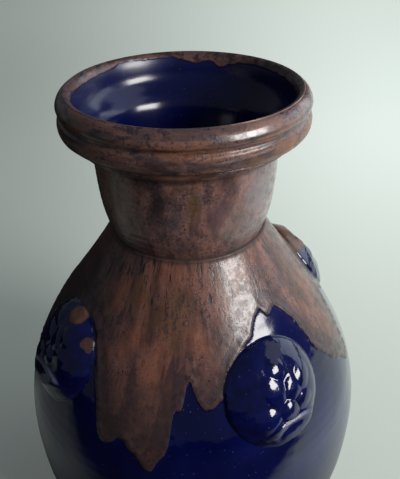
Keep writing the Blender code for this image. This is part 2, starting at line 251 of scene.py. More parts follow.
class Wire:
    """A value on its way between nodes. A sum written with it puts the nodes for the sum into its tree."""

    __add__, __radd__ = sign("ADD"), sign("ADD", turned=True)
    __sub__, __rsub__ = sign("SUBTRACT"), sign("SUBTRACT", turned=True)
    __mul__ = __rmul__ = sign("MULTIPLY")
    __truediv__, __pow__ = sign("DIVIDE"), sign("POWER")

    def __init__(self, tree, socket=None):
        self.tree = tree
        self.socket = socket

    def node(self, kind, inputs=None, output=0, **settings):
        """Adds a node: first its settings, then a number, colour or wire for each of its inputs."""
        made = self.tree.nodes.new(kind)
        for name, value in settings.items():
            setattr(made, name, value)
        fill(made, inputs or {})
        return Wire(self.tree, made.outputs[output])

    def then(self, kind, inputs=None, **settings):
        """The next node that this geometry goes through."""
        return self.node(f"GeometryNode{kind}", {"Geometry": self, **(inputs or {})}, **settings)

    def side(self, output):
        """Another output of the node that this wire comes from."""
        return Wire(self.tree, self.socket.node.outputs[output])

    def sum_of(self, operation, first, second):
        """A node for numbers, or one for vectors if either side is a vector."""
        wires = [x for x in (first, second) if isinstance(x, Wire)]
        vectors = [x for x in wires if x.socket.type == "VECTOR"]
        if not vectors:
            return self.node("ShaderNodeMath", {0: first, 1: second}, operation=operation)
        if operation == "MULTIPLY" and (len(wires) > len(vectors) or isinstance(second, (int, float))):
            share = first if second is vectors[0] else second
            return self.node("ShaderNodeVectorMath", {0: vectors[0], "Scale": share}, operation="SCALE")
        return self.node("ShaderNodeVectorMath", {0: first, 1: second}, operation=operation)

    def maths(self, operation, *others):
        """A node that works on this value, and on others if it needs them."""
        return self.node("ShaderNodeMath", dict(enumerate((self, *others))), operation=operation)

    def above(self, low, high):
        """0 up to low, 1 from high on, and a soft step between."""
        inputs = {"Value": self, "From Min": low, "From Max": high}
        return self.node("ShaderNodeMapRange", inputs, interpolation_type="SMOOTHSTEP")

    def most(self, other):
        """The greater of this and another value."""
        return self.maths("MAXIMUM", other)

    def hump(self, middle, reach):
        """1 at the middle, falling softly to 0 at the reach on either side."""
        return 1 - (self - middle).maths("ABSOLUTE").above(0, reach)

    def xyz(self):
        """The three parts of this vector."""
        parts = self.node("ShaderNodeSeparateXYZ", {0: self})
        return parts, parts.side(1), parts.side(2)

    def vector(self, x, y, z):
        """A vector of three parts."""
        return self.node("ShaderNodeCombineXYZ", {0: x, 1: y, 2: z})

    def seeded(self, seed):
        """This place moved off by a seed, so that no two patterns run alike."""
        return self + (seed * 3.7, seed * 1.3, seed * 2.1)

    def grain(self, size, seed, detail=2, roughness=0.5):
        """Soft noise from 0 to 1 with features of a given size, read at this place."""
        inputs = {"Vector": self.seeded(seed), "Scale": 1 / size, "Detail": detail, "Roughness": roughness}
        return self.node("ShaderNodeTexNoise", inputs)

    def spots(self, spacing, radius, share, seed):
        """Small round spots in cells of a given spacing, in only a share of the cells."""
        near = self.node("ShaderNodeTexVoronoi", {"Vector": self.seeded(seed), "Scale": 1 / spacing})
        pick = self.node("ShaderNodeSeparateColor", {0: near.side("Color")})
        size = pick.side(1) * (radius / spacing)
        inside = 1 - (near / size.most(0.001)).above(0.5, 1.0)
        return inside * pick.maths("LESS_THAN", share)

    def curve(self, points, low, high):
        """A drawn curve through (place, value) points. Both are brought to between 0 and 1 for the node."""
        first, last = points[0][0], points[-1][0]
        bent = self.node("ShaderNodeFloatCurve", {"Value": (self - first) / (last - first)})
        line = bent.socket.node.mapping.curves[0]
        places = [((x - first) / (last - first), (y - low) / (high - low)) for x, y in points]
        line.points[0].location, line.points[1].location = places[0], places[-1]
        for place in places[1:-1]:
            line.points.new(*place)
        for point in line.points:
            point.handle_type = "AUTO_CLAMPED"
        bent.socket.node.mapping.update()
        return bent * (high - low) + low

    def blend(self, first, second):
        """A colour between two others, each a wire or its red, green and blue, by this share."""
        ends = [(*colour, 1) if isinstance(colour, tuple) else colour for colour in (first, second)]
        return self.node("ShaderNodeMix", {0: self, 6: ends[0], 7: ends[1]}, output=2, data_type="RGBA")

    def bump(self):
        """The way a surface faces under a relief of this height."""
        return self.node("ShaderNodeBump", {"Strength": 1, "Distance": 1, "Height": self})


def around(turn, radius, level):
    """The place at a turn round the vase in degrees."""
    turn = math.radians(turn)
    return math.sin(turn) * radius, -math.cos(turn) * radius, level


def turn_and_level(place):
    """The turn round the vase at a place, in degrees from -180 to 180, and its level in millimetres."""
    x, y, level = place.xyz()
    return x.maths("ARCTAN2", y * -1) * math.degrees(1), level * 1000


def above_runs(place):
    """How far a place lies above the lower edge of the rust glaze, in millimetres."""
    turn, level = turn_and_level(place)
    front = turn.curve(FRONT_RUNS, 110, 190)
    back = (turn + turn.maths("LESS_THAN", FRONT_RUNS[0][0]) * 360).curve(BACK_RUNS, 110, 190)
    in_front = turn.maths("GREATER_THAN", FRONT_RUNS[0][0]) * turn.maths("LESS_THAN", FRONT_RUNS[-1][0])
    edge = back + (front - back) * in_front
    ragged = (place.grain(0.005, 11) - 0.5) * 3.0 + (place.grain(0.0014, 12) - 0.5) * 0.8
    return level - edge + ragged


def above_upper_coat(place):
    """How far a place lies above the lower edge of the second coat, in millimetres."""
    turn, level = turn_and_level(place)
    return level - turn.curve(UPPER_COAT, 110, 190) + (place.grain(0.004, 14) - 0.5) * 2.4


def above_lip_runs(place):
    """How far a place inside the lip lies above the rust glaze's edge there, in millimetres."""
    turn, level = turn_and_level(place)
    ragged = (place.grain(0.004, 13) - 0.5) * 1.6
    return level - (LIP_TOP * 1000 - turn.curve(LIP_RUNS, 0, 8)) + ragged


def without_doubles(points):
    """A drawn outline without the points that lie on the one before."""
    kept = [points[0]]
    for point in points[1:]:
        if math.dist(point, kept[-1]) > WELD:
            kept.append(point)
    return kept


def weighted(weights, corners):
    """The sum of corners in the (radius, height) plane, each with its own weight."""
    return tuple(sum(w * corner[axis] for w, corner in zip(weights, corners)) for axis in (0, 1))


def cubic_at(corners, t):
    """The place on a cubic curve at t, from 0 to 1."""
    s = 1 - t
    return weighted((s**3, 3 * s * s * t, 3 * s * t * t, t**3), corners)


def cubic(start, leave, arrive, end, spacing=FINE):
    """Points along a cubic curve, about a spacing apart."""
    corners = (start, leave, arrive, end)
    rough = [cubic_at(corners, step / 32) for step in range(33)]
    length = sum(math.dist(a, b) for a, b in zip(rough, rough[1:]))
    steps = max(2, round(length / spacing))
    return [cubic_at(corners, step / steps) for step in range(steps + 1)]


def arc(centre, radii, first, last, spacing=FINE):
    """Points along an elliptical arc; angles in degrees, 0 outwards and 90 upwards."""
    steps = max(3, round(math.radians(abs(last - first)) * max(radii) / spacing))
    angles = [math.radians(first + (last - first) * step / steps) for step in range(steps + 1)]
    return [(centre[0] + radii[0] * math.cos(a), centre[1] + radii[1] * math.sin(a)) for a in angles]


def straight(start, end, spacing=FINE):
    """Points along a straight line, about a spacing apart."""
    steps = max(1, round(math.dist(start, end) / spacing))
    return [tuple(a + (b - a) * step / steps for a, b in zip(start, end)) for step in range(steps + 1)]


def eased(start, corner, end, ease, spacing):
    """A path round one corner, rounded off from an ease before it to an ease behind it."""

    def beside(side):
        share = ease / math.dist(corner, side)
        return tuple(c + (s - c) * share for c, s in zip(corner, side))

    before, after = beside(start), beside(end)
    bend = cubic(before, corner, corner, after, spacing)
    return straight(start, before, spacing) + bend + straight(after, end, spacing)


def stretch(points, shown=True, inside=False, first=None, last=None):
    """One stretch of an outline: each point with the way its wall faces, if it shows, and if it is inside."""
    points = without_doubles(points)
    rows = []
    for index, (radius, height) in enumerate(points):
        before, after = points[max(index - 1, 0)], points[min(index + 1, len(points) - 1)]
        run = Vector((after[0] - before[0], after[1] - before[1])).normalized()
        rows.append([radius, height, -run.y, run.x, float(shown), float(inside)])
    for row, facing in ((0, first), (-1, last)):
        if facing:
            rows[row][2:4] = facing
    return rows


def outline_of(*stretches):
    """Joins stretches into one outline mesh, whose points carry what the skin needs to know of each row."""
    rows = list(stretches[0])
    for following in stretches[1:]:
        if math.dist(rows[-1][:2], following[0][:2]) < WELD:
            if following[0][4] > rows[-1][4]:
                rows[-1] = following[0]
            following = following[1:]
        rows += following
    mesh = bpy.data.meshes.new("outline")
    count = len(rows)
    mesh.from_pydata([(row[0], 0, row[1]) for row in rows], [(i, i + 1) for i in range(count - 1)], [])
    facing = mesh.attributes.new("facing", "FLOAT_VECTOR", "POINT")
    facing.data.foreach_set("vector", [value for row in rows for value in (row[2], 0, row[3])])
    for label, column in (("shown", 4), ("inside", 5)):
        mesh.attributes.new(label, "FLOAT", "POINT").data.foreach_set("value", [row[column] for row in rows])
    return mesh


def crease_fill(points):
    """The outline with its inner corner at the foot of the neck filled by glaze."""
    filled = []
    for radius, height in points:
        near = max(0, 1 - abs(height - NECK_SEAM) / CREASE_REACH)
        filled.append((radius + CREASE_FILL * near * near, height))
    return filled


def shoulder_corners(belly, mouth):
    """The corners of the curve from the mouth down to the belly, for either face of the wall."""
    reach = SHOULDER_HEIGHT * SHOULDER_DOWN_SHARE
    return (
        (mouth, MOUTH_LEVEL),
        (mouth + reach * SHOULDER_SLOPE_SHARE, MOUTH_LEVEL - reach),
        (belly, BELLY_LEVEL + SHOULDER_HEIGHT * BELLY_UP_SHARE),
        (belly, BELLY_LEVEL),
    )


def body_outline():
    """The body's outline: up its inside, over the mouth, down its outside and in under its base."""
    floor = BODY_BASE + FLOOR_THICKNESS
    rise = BELLY_LEVEL - floor
    belly = BELLY_RADIUS - BODY_WALL
    inside = straight((0, floor), (BASE_RADIUS - BODY_WALL, floor), HIDDEN)
    leave = (BASE_RADIUS + rise * BASE_UP_SHARE, floor)
    arrive = (belly, BELLY_LEVEL - rise * BELLY_DOWN_SHARE)
    inside += cubic(inside[-1], leave, arrive, (belly, BELLY_LEVEL), HIDDEN)
    inside += cubic(*reversed(shoulder_corners(belly, MOUTH_BORE)), HIDDEN / 2)
    inside.append((MOUTH_BORE, NECK_SEAM))
    seam = (NECK_BASE_RADIUS + CREASE_FILL, NECK_SEAM)
    shoulder = shoulder_corners(BELLY_RADIUS, MOUTH_RADIUS)
    near = [point for point in cubic(*shoulder) if point[1] > NECK_SEAM - 1.5 * CREASE_REACH]
    far = [point for point in cubic(*shoulder, MEDIUM) if point[1] < near[-1][1] - FINE]
    drop = BELLY_LEVEL - BODY_BASE
    lift = drop * BASE_UP_SHARE
    leave = (BELLY_RADIUS, BELLY_LEVEL - drop * BELLY_DOWN_SHARE)
    arrive = (BASE_RADIUS + lift * BASE_SLOPE_SHARE, BODY_BASE + lift)
    tuck = cubic((BELLY_RADIUS, BELLY_LEVEL), leave, arrive, (BASE_RADIUS, BODY_BASE), COARSE)
    outside = [seam] + crease_fill(near[1:]) + crease_fill(far) + tuck
    base = eased((BASE_RADIUS, BODY_BASE), (FOOT_RADIUS, FOOT_SEAM), (0, FOOT_SEAM), SEAM_GAP, HIDDEN)
    return outline_of(
        stretch(inside, inside=True, last=(-1, 0)),
        stretch([inside[-1], seam], shown=False),
        stretch(outside, first=(1, 0)),
        stretch(base, shown=False),
    )


def funnel_lean(level):
    """How far the inside of the neck and rim leans out from upright at a level, in radians."""
    height = (level - MOUTH_LEVEL) * 1000
    for (low, first), (high, last) in zip(FUNNEL_LEANS, FUNNEL_LEANS[1:]):
        if height <= high:
            share = max(0, (height - low) / (high - low))
            return math.radians(first + (last - first) * share * share * (3 - 2 * share))
    return math.radians(FUNNEL_LEANS[-1][1])


def funnel_way(level):
    """The way the inside of the neck and rim faces at a level."""
    lean = funnel_lean(level)
    return -math.cos(lean), math.sin(lean)


def funnel(low, high):
    """The stretch of the neck's and rim's inside between two levels."""
    points = [(MOUTH_BORE, NECK_SEAM)]
    steps = round((LIP_SEAM - NECK_SEAM) / FINE)
    rise = (LIP_SEAM - NECK_SEAM) / steps
    leans = [math.tan(funnel_lean(NECK_SEAM + rise * (step + 0.5))) for step in range(steps)]
    widening = (RIM_BORE - MOUTH_BORE) / (sum(leans) * rise)
    for lean in leans:
        points.append((points[-1][0] + lean * rise * widening, points[-1][1] + rise))

    def at(level):
        share = (level - NECK_SEAM) / rise
        index = min(int(share), steps - 1)
        return tuple(a + (b - a) * (share - index) for a, b in zip(points[index], points[index + 1]))

    pitch = MEDIUM if high < LIP_SEAM - FINE else FINE
    count = round((high - low) / pitch)
    path = [at(low + (high - low) * step / count) for step in range(count + 1)]
    return stretch(path, inside=True, first=funnel_way(low), last=funnel_way(high))


def neck_outline():
    """The neck's outline: up its inside, over its head, down its outside and in under its foot."""
    height = NECK_TOP - NECK_LOW.z
    tuck = height * NECK_TUCK_SHARE
    inside = funnel(NECK_SEAM, COLLAR_SEAM)
    top = (LEDGE_RADIUS, COLLAR_SEAM)
    under_ledge = COLLAR_SEAM - LEDGE_DROP
    ledge_corner = (LEDGE_RADIUS, under_ledge)
    ledge = cubic(top, ledge_corner, ledge_corner, (LEDGE_CREASE - FINE, under_ledge))
    corner_top = (NECK_TOP_RADIUS + CORNER_FILL, under_ledge)
    corner = arc((corner_top[0], corner_top[1] - CORNER_FILL), (CORNER_FILL, CORNER_FILL), 90, 180)
    corner = ledge + straight(ledge[-1], corner_top) + corner
    leave = (NECK_TOP_RADIUS, NECK_TOP - height * NECK_FULL_SHARE)
    arrive = (NECK_BASE_RADIUS + tuck * NECK_SLOPE_SHARE, NECK_SEAM + tuck)
    outside = cubic(corner[-1], leave, arrive, (NECK_BASE_RADIUS, NECK_SEAM), MEDIUM * 0.7)
    outside = corner + crease_fill(outside)
    return outline_of(
        inside,
        stretch([inside[-1][:2], top], shown=False),
        stretch(outside, first=(1, 0), last=(1, 0)),
        stretch([outside[-1], inside[0][:2]], shown=False),
    )


def collar_outline():
    """The collar's outline: up its flared inside, over its head, down the bulged band and in to its ledge."""
    flare = funnel(COLLAR_SEAM, LIP_SEAM)
    notch = (NOTCH_RADIUS, LIP_SEAM)
    band_middle = (COLLAR_RADIUS - BAND_BULGE, COLLAR_TOP - BAND_HEIGHT / 2)
    band = arc(band_middle, (BAND_BULGE, BAND_HEIGHT / 2), 42, -42)
    above_band = (band[0][0] - NOTCH_EASE * 0.6, band[0][1] + NOTCH_EASE * 0.8)
    head = cubic(notch, (notch[0], notch[1] - NOTCH_EASE), above_band, band[0])
    crease = (LEDGE_CREASE, COLLAR_SEAM + LEDGE_RISE)
    leave = (band[-1][0] - BAND_BULGE / 4, band[-1][1] - BAND_BULGE / 2)
    arrive = (crease[0] + BAND_BULGE, crease[1] + BAND_BULGE / 2)
    taper = cubic(band[-1], leave, arrive, crease)
    ledge_turns = (LEDGE_RADIUS, crease[1] + FINE / 2), (LEDGE_RADIUS, crease[1] - FINE)
    ledge = cubic(crease, *ledge_turns, (LEDGE_RADIUS, COLLAR_SEAM))
    return outline_of(
        flare,
        stretch([flare[-1][:2], notch], shown=False),
        stretch(head + band + taper + ledge, first=(1, 0), last=(1, 0)),
        stretch([ledge[-1], flare[0][:2]], shown=False),
    )


def lip_outline():
    """The rolled lip's outline: up from the bore, over the crest and out to the notch under the roll."""
    height = LIP_TOP - LIP_SEAM
    half_width = (LIP_RADIUS - RIM_BORE) / 2
    centre = (RIM_BORE + half_width, LIP_SEAM + height / 2)
    way = funnel_way(LIP_SEAM)
    crest = (centre[0], LIP_TOP)
    leave = (RIM_BORE + way[1] * height * 0.55, LIP_SEAM - way[0] * height * 0.55)
    bore = cubic((RIM_BORE, LIP_SEAM), leave, (crest[0] - half_width * 0.62, LIP_TOP), crest)
    low = LIP_SEAM + height * ROLL_LOW_SHARE
    leave_crest = (crest[0] + half_width * ROLL_FULLNESS, LIP_TOP)
    arrive_low = (LIP_RADIUS, low + (LIP_TOP - low) * ROLL_FULLNESS)
    roll = cubic(crest, leave_crest, arrive_low, (LIP_RADIUS, low))
    roll += arc((LIP_RADIUS - half_width / 2, low), (half_width / 2, low - LIP_SEAM), 0, -35)
    notch = (NOTCH_RADIUS, LIP_SEAM)
    under_roll = (roll[-1][0] - NOTCH_EASE * 0.5, roll[-1][1] - NOTCH_EASE * 0.5)
    into_notch = cubic(roll[-1], under_roll, (notch[0], notch[1] + NOTCH_EASE / 2), notch)
    return outline_of(
        stretch(bore, inside=True, first=way, last=(0, 1)),
        stretch(roll + into_notch, first=(0, 1), last=(1, 0)),
        stretch([notch, bore[0]], shown=False),
    )


def foot_outline():
    """The foot ring's outline: up its inside, across its head and down to the eased resting edges."""
    bore = FOOT_RADIUS - FOOT_WIDTH
    ease = (FOOT_EDGE, FOOT_EDGE)
    inner_edge = arc((bore + FOOT_EDGE, FOOT_EDGE), ease, 270, 180)
    outer_edge = arc((FOOT_RADIUS - FOOT_EDGE, FOOT_EDGE), ease, 0, -90)
    return outline_of(
        stretch(inner_edge + [(bore, FOOT_SEAM)], last=(-1, 0)),
        stretch([(bore, FOOT_SEAM), (FOOT_RADIUS, FOOT_SEAM)], shown=False),
        stretch(straight((FOOT_RADIUS, FOOT_SEAM), outer_edge[0], MEDIUM) + outer_edge, first=(1, 0)),
        stretch([outer_edge[-1], inner_edge[0]], shown=False),
    )


def medallion_outline():
    """A medallion's outline: from its middle over the cushion, down the rim, along the toe and back under."""
    edge = MEDALLION_RADIUS
    steps = round(edge / FINE)
    drop = DOME_HEIGHT - RIM_HEIGHT
    shares = [step / steps for step in range(steps + 1)]
    dome = [(edge * share, DOME_HEIGHT - drop * share**DOME_POWER) for share in shares]
    toe_end = (edge + TOE_WIDTH, -UNDER_SINK / 4)
    toe = cubic(dome[-1], (edge + UNDER_SINK, UNDER_SINK), (edge + UNDER_SINK, 0), toe_end)
    under = [toe[-1], (edge + TOE_WIDTH, -UNDER_SINK), (0, -UNDER_SINK)]
    hidden = (stretch(points, shown=False) for points in (toe, under))
    return outline_of(stretch(dome), *hidden)


def new_tree(name, **sockets):
    """A tree for geometry with its inputs by kind, and a way to reach each of them by name."""
    tree = bpy.data.node_groups.new(name, "GeometryNodeTree")
    for kind, labels in sockets.items():
        for label in labels:
            tree.interface.new_socket(label, in_out="INPUT", socket_type=f"NodeSocket{kind}")
    tree.interface.new_socket("Geometry", in_out="OUTPUT", socket_type="NodeSocketGeometry")
    start = Wire(tree).node("NodeGroupInput")
    return start, {label: start.side(label) for labels in sockets.values() for label in labels}


def finish_tree(net, place, name, value, material):
    """Closes a tree: keeps a value by name, moves the net to its place, welds it and sets its material."""
    skin = net.then("StoreNamedAttribute", {"Name": name, "Value": value}, data_type="FLOAT", domain="POINT")
    skin = skin.then("SetPosition", {"Position": place}).then("MergeByDistance", {"Distance": WELD})
    skin = skin.then("SetShadeSmooth", {"Shade Smooth": True}, domain="FACE")
    sharp = skin.node("GeometryNodeInputMeshEdgeAngle").maths("GREATER_THAN", SHARP_TURN)
    skin = skin.then("SetShadeSmooth", {"Selection": sharp, "Shade Smooth": False}, domain="EDGE")
    skin = skin.then("RealizeInstances").then("SetMaterial", {"Material": material})
    fill(skin.tree.nodes.new("NodeGroupOutput"), {"Geometry": skin})
    return skin.tree


def clay_relief(place, size):
    """How far the skin lies off its drawn outline: the potter's unevenness, throwing rings and soft lumps."""
    level = place.xyz()[2]
    waver = place.grain(0.045, 3, 1) * 0.004
    rings = ((level + waver) / size["Ring spacing"] * math.tau).maths("SINE") * 0.5 - 0.5
    rings = rings * size["Ring depth"] * place.grain(0.03, 4, 1).above(0.3, 0.7)
    for seam in (NECK_SEAM, COLLAR_SEAM, LIP_SEAM):
        rings = rings * (level - seam).maths("ABSOLUTE").above(FINE, FINE * 8)
    sway = place.grain(0.06, 1, 1) * size["Unevenness"] * -1
    lumps = place.grain(0.009, 2) * size["Lump depth"] * -1
    return rings + sway + lumps


def rust_relief(place, size):
    """How far the run of rust glaze stands off the skin, with its thicker rolled edge."""
    above = above_runs(place)
    step = above.above(-0.3, 0.9)
    roll = above.above(-0.2, 1.2) * (1 - above.above(1.4, 5.0))
    return (step + roll) * size["Run depth"]


def swung_net(start, size):
    """A net with a row for each point of the outline, what its points read off their row, and their turn."""
    rows = size["Outline"].then("AttributeDomainSize", component="MESH")
    spans = {"Size X": 1, "Size Y": 1, "Vertices X": rows, "Vertices Y": size["Steps round"] + 1}
    net = start.node("GeometryNodeMeshGrid", spans)
    along, round_about, _ = start.node("GeometryNodeInputPosition").xyz()
    row = ((along + 0.5) * (rows - 1)).maths("ROUND")

    def row_value(name, kind="FLOAT"):
        value = start.node("GeometryNodeInputNamedAttribute", {"Name": name}, data_type=kind)
        reading = {"Value": value, "Index": row}
        return size["Outline"].then("SampleIndex", reading, data_type=kind, domain="POINT")

    return net, row_value, (round_about + 0.5) * math.tau


def swung(reach, turn):
    """Across and up from an axis to a reach from it, at a turn round it."""
    return reach * turn.maths("SINE"), reach * turn.maths("COSINE") * -1


def turned_skin_tree():
    """Turns an outline once round the axis, and gives it the relief of thrown clay under glaze."""
    start, size = new_tree(
        "turned_skin",
        Geometry=["Outline"],
        Int=["Steps round"],
        Float=["Ring depth", "Ring spacing", "Unevenness", "Lump depth", "Run depth"],
        Material=["Glaze"],
    )
    net, row_value, turn = swung_net(start, size)
    radius, _, height = row_value("position", "FLOAT_VECTOR").xyz()
    out, _, up = row_value("facing", "FLOAT_VECTOR").xyz()
    shown, inside = row_value("shown"), row_value("inside")
    place = start.vector(*swung(radius, turn), height)
    way = start.vector(*swung(out, turn), up)
    depth = clay_relief(place, size) * (1 - inside * INSIDE_CALM) + rust_relief(place, size) * (1 - inside)
    return finish_tree(net, place + way * (depth * shown), "inside", inside, size["Glaze"])


def leant(across, up, lean):
    """A place read along and beside a line that leans by an angle in degrees."""
    lean = math.radians(lean)
    return across * math.cos(lean) + up * math.sin(lean), up * math.cos(lean) - across * math.sin(lean)


def lump(across, up, lean, half_length, half_width, height):
    """A soft oval lump round (0, 0), leaning by an angle in degrees. It falls below 0 outside its oval."""
    along, beside = leant(across, up, lean)
    return (1 - (along / half_length) ** 2 - (beside / half_width) ** 2) * height


def rosette_relief(across, up, size):
    """How far a medallion's boss, petals and leaf stand off its cushion, and where the leaf's edge is."""
    side, rise = across - size["Heart across"], up - size["Heart up"]
    cosine, sine = (size["Flower turn"].maths(way) for way in ("COSINE", "SINE"))
    flower_side, flower_rise = side * cosine + rise * sine, rise * cosine - side * sine
    flower = lump(flower_side, flower_rise, 0, BOSS_RADIUS, BOSS_RADIUS, BOSS_HEIGHT)
    for petal_across, petal_up, lean, *sizes in PETALS:
        petal = lump(flower_side - petal_across, flower_rise - petal_up, lean, *sizes)
        flower = flower.maths("SMOOTH_MAX", petal, PETAL_SOFTNESS)
    flower = flower.maths("SMOOTH_MAX", 0, PETAL_SOFTNESS)
    along, beside = leant(side - LEAF_PLACE[0], rise - LEAF_PLACE[1], LEAF_LEAN)
    reach = ((along / LEAF_HALF_LENGTH) ** 2 + (beside / LEAF_HALF_WIDTH) ** 2).maths("SQRT")
    blade = (1 - reach.above(0.82, 1.12)) * ((LEAF_HALF_WIDTH - beside) * LEAF_SLOPE + LEAF_RISE)
    edge = reach.hump(0.95, 0.38) * beside.above(-0.002, 0.002)
    return flower * reach.above(0.75, 1.1) + blade + edge * LEAF_EDGE, edge


def medallion_tree():
    """Swings a medallion's outline round its own middle, and lays it on the body's skin with its rosette."""
    start, size = new_tree(
        "pressed_medallion",
        Geometry=["Outline"],
        Int=["Steps round"],
        Object=["Body"],
        Vector=["Seat", "Across", "Up", "Outward"],
        Float=["Heart across", "Heart up", "Flower turn", "Lump depth"],
        Material=["Glaze"],
    )
    net, row_value, turn = swung_net(start, size)
    reach, _, height = row_value("position", "FLOAT_VECTOR").xyz()
    shown = row_value("shown")
    cut = start.vector(turn.maths("COSINE"), turn.maths("SINE"), size["Flower turn"])
    ragged = (cut.grain(0.22, 5, 2, 0.6) - 0.5) * RIM_WAVER
    reach = reach * (1 + ragged * (reach / MEDALLION_RADIUS).above(0.75, 1.0))
    across, up = swung(reach, turn)
    flat = size["Seat"] + size["Across"] * across + size["Up"] * up
    info = start.node("GeometryNodeObjectInfo", {"Object": size["Body"]}, transform_space="ORIGINAL")
    ray = {
        "Target Geometry": info.side("Geometry"),
        "Source Position": flat + size["Outward"] * MEDALLION_RADIUS,
        "Ray Direction": size["Outward"] * -1,
        "Ray Length": MEDALLION_RADIUS * 3,
    }
    wall = start.node("GeometryNodeRaycast", ray, output="Hit Position")
    warp = (flat.grain(0.007, 6, 1) - 0.5) * PETAL_WAVER
    relief, edge = rosette_relief(across + warp, up - warp * 0.7, size)
    dents = flat.grain(0.006, 7) * size["Lump depth"] * -1
    lifted = wall + size["Outward"] * (height + (relief + dents) * shown)
    return finish_tree(net, lifted, "leaf_edge", edge * shown, size["Glaze"])


def in_scene(name, data):
    """A new object in the scene."""
    made = bpy.data.objects.new(name, data)
    bpy.context.scene.collection.objects.link(made)
    return made


def made_by(tree, name, base, values):
    """Runs a tree on a mesh and keeps the result as a plain mesh."""
    helper = in_scene(f"{name}_drawn", base)
    modifier = helper.modifiers.new("Making", "NODES")
    modifier.node_group = tree
    for item in tree.interface.items_tree:
        if item.in_out == "INPUT" and item.name in values:
            modifier[item.identifier] = values[item.name]
    bpy.context.view_layer.update()
    graph = bpy.context.evaluated_depsgraph_get()
    mesh = bpy.data.meshes.new_from_object(helper.evaluated_get(graph))
    mesh.name = name
    bpy.data.objects.remove(helper)
    return in_scene(name, mesh)


# Light and camera come from the way the vase was photographed: a window to the right, and a pale floor
CAMERA_DISTANCE, CAMERA_HEIGHT = 0.2314, 0.344
CAMERA_YAW, CAMERA_PITCH, CAMERA_ROLL, CAMERA_TURN = (math.radians(a) for a in (1.4, 33.58, -1.05, -29))
CAMERA_SENSOR = 36
CAMERA_FOCUS = 550 / 479 * CAMERA_SENSOR
FLOOR_HALF = 4.0
# The floor's colour seen directly, in bounced light and in the glaze (a dark painted reflection), and the
# colour of its painted glow
FLOOR_LIT = (0.43, 0.47, 0.43)
FLOOR_BOUNCE = (0.2, 0.22, 0.21)
FLOOR_MIRRORED = (0.03, 0.03, 0.03)
FLOOR_GLOW = (0.9, 1.0, 0.93)
ROOM_COLOUR = (0.8, 0.88, 1.0, 1)
ROOM_LIGHT, ROOM_SEEN = 0.115, 0.615

# The lamps: name, turn round the vase and rise above its middle in degrees, distance, width and height in
# metres, watts, and colour
LAMP_AIM = 0.18
LAMPS = (
    ("window", 26.5, 25, 1.0, 0.48, 0.36, 11, (1.0, 0.98, 0.95)),
    ("far_wall", 86, 16, 1.2, 0.95, 0.62, 3.5, (0.8, 0.92, 1.0)),
    ("ceiling", 66, 44.5, 1.2, 0.85, 0.65, 1.4, (0.9, 0.95, 1.0)),
)


def camera():
    """The camera, a hand's width above the rim and looking down at it."""
    stand = Matrix.Rotation(CAMERA_TURN, 4, "Z") @ Matrix.Translation((0, -CAMERA_DISTANCE, CAMERA_HEIGHT))
    facing = Matrix.Rotation(-CAMERA_YAW, 4, "Z") @ Matrix.Rotation(math.pi / 2 - CAMERA_PITCH, 4, "X")
    view = in_scene("camera", bpy.data.cameras.new("camera"))
    view.matrix_world = stand @ facing @ Matrix.Rotation(CAMERA_ROLL, 4, "Z")
    view.data.sensor_width = CAMERA_SENSOR
    view.data.lens = CAMERA_FOCUS
    view.data.clip_start = 0.01
    bpy.context.scene.camera = view
    bpy.context.scene.view_settings.view_transform = "Standard"


def lamp(name, turn, rise, distance, width, height, watts, colour):
    """A soft rectangular lamp that faces the vase."""
    light = bpy.data.lights.new(name, "AREA")
    light.shape = "RECTANGLE"
    light.size, light.size_y = width, height
    light.energy = watts
    light.color = colour
    stand = in_scene(name, light)
    rise = math.radians(rise)
    away = Vector(around(turn, math.cos(rise), math.sin(rise)))
    stand.matrix_world = away.to_track_quat("Z", "Y").to_matrix().to_4x4()
    stand.location = Vector((0, 0, LAMP_AIM)) + away * distance


def new_material(name):
    """A material, its shader, and the place on the object."""
    material = bpy.data.materials.new(name)
    material.use_nodes = True
    tree = material.node_tree
    return material, tree.nodes["Principled BSDF"], Wire(tree).node("ShaderNodeTexCoord", output="Object")


def studio():
    """The floor, the room's dim light and the lamps."""
    mesh = bpy.data.meshes.new("floor")
    corners = [(x * FLOOR_HALF, y * FLOOR_HALF, 0) for x, y in ((-1, -1), (1, -1), (1, 1), (-1, 1))]
    mesh.from_pydata(corners, [], [(0, 1, 2, 3)])
    ground = in_scene("floor", mesh)
    paint, shader, place = new_material("pale_floor")
    seen = place.node("ShaderNodeLightPath", output="Is Camera Ray")
    mirrored = seen.side("Is Glossy Ray")
    x, y, _ = place.xyz()
    right = x * math.cos(CAMERA_TURN) + y * math.sin(CAMERA_TURN)
    back = y * math.cos(CAMERA_TURN) - x * math.sin(CAMERA_TURN)
    # Painted light: the floor glows paler to the right and back; in the glaze, painted reflections of a table
    # at the right and a dim edge at the left
    painted_floor_light = (right / (back + 0.35).most(0.1)).above(-0.35, 0.35) * 0.45 + 0.12
    painted_floor_light = painted_floor_light * back.above(-0.3, 0.65) + back.above(0.6, 1.6) * 0.07 + 0.05
    painted_table_reflection = (right - 0.06).most(0).maths("MINIMUM", 0.27) * 6.8 * back.above(-0.23, -0.16)
    painted_left_reflection = (right * -1).above(0.08, 0.2) * back.above(-0.18, -0.08) * (1 - back.above(0.06, 0.12)) * 0.17
    fill(shader, {
        "Base Color": mirrored.blend(seen.blend(FLOOR_BOUNCE, FLOOR_LIT), FLOOR_MIRRORED),
        "Emission Color": (painted_floor_light * seen + (painted_table_reflection + painted_left_reflection) * mirrored).blend((0, 0, 0), FLOOR_GLOW),
        "Emission Strength": 1.0,
        "Specular IOR Level": 0,
        "Roughness": 0.8,
    })
    mesh.materials.append(paint)
    world = bpy.data.worlds.new("room")
    bpy.context.scene.world = world
    world.use_nodes = True
    direct = Wire(world.node_tree).node("ShaderNodeLightPath", output="Is Camera Ray")
    strength = direct * (ROOM_SEEN - ROOM_LIGHT) + ROOM_LIGHT
    fill(world.node_tree.nodes["Background"], {"Color": ROOM_COLOUR, "Strength": strength})
    for row in LAMPS:
        lamp(*row)
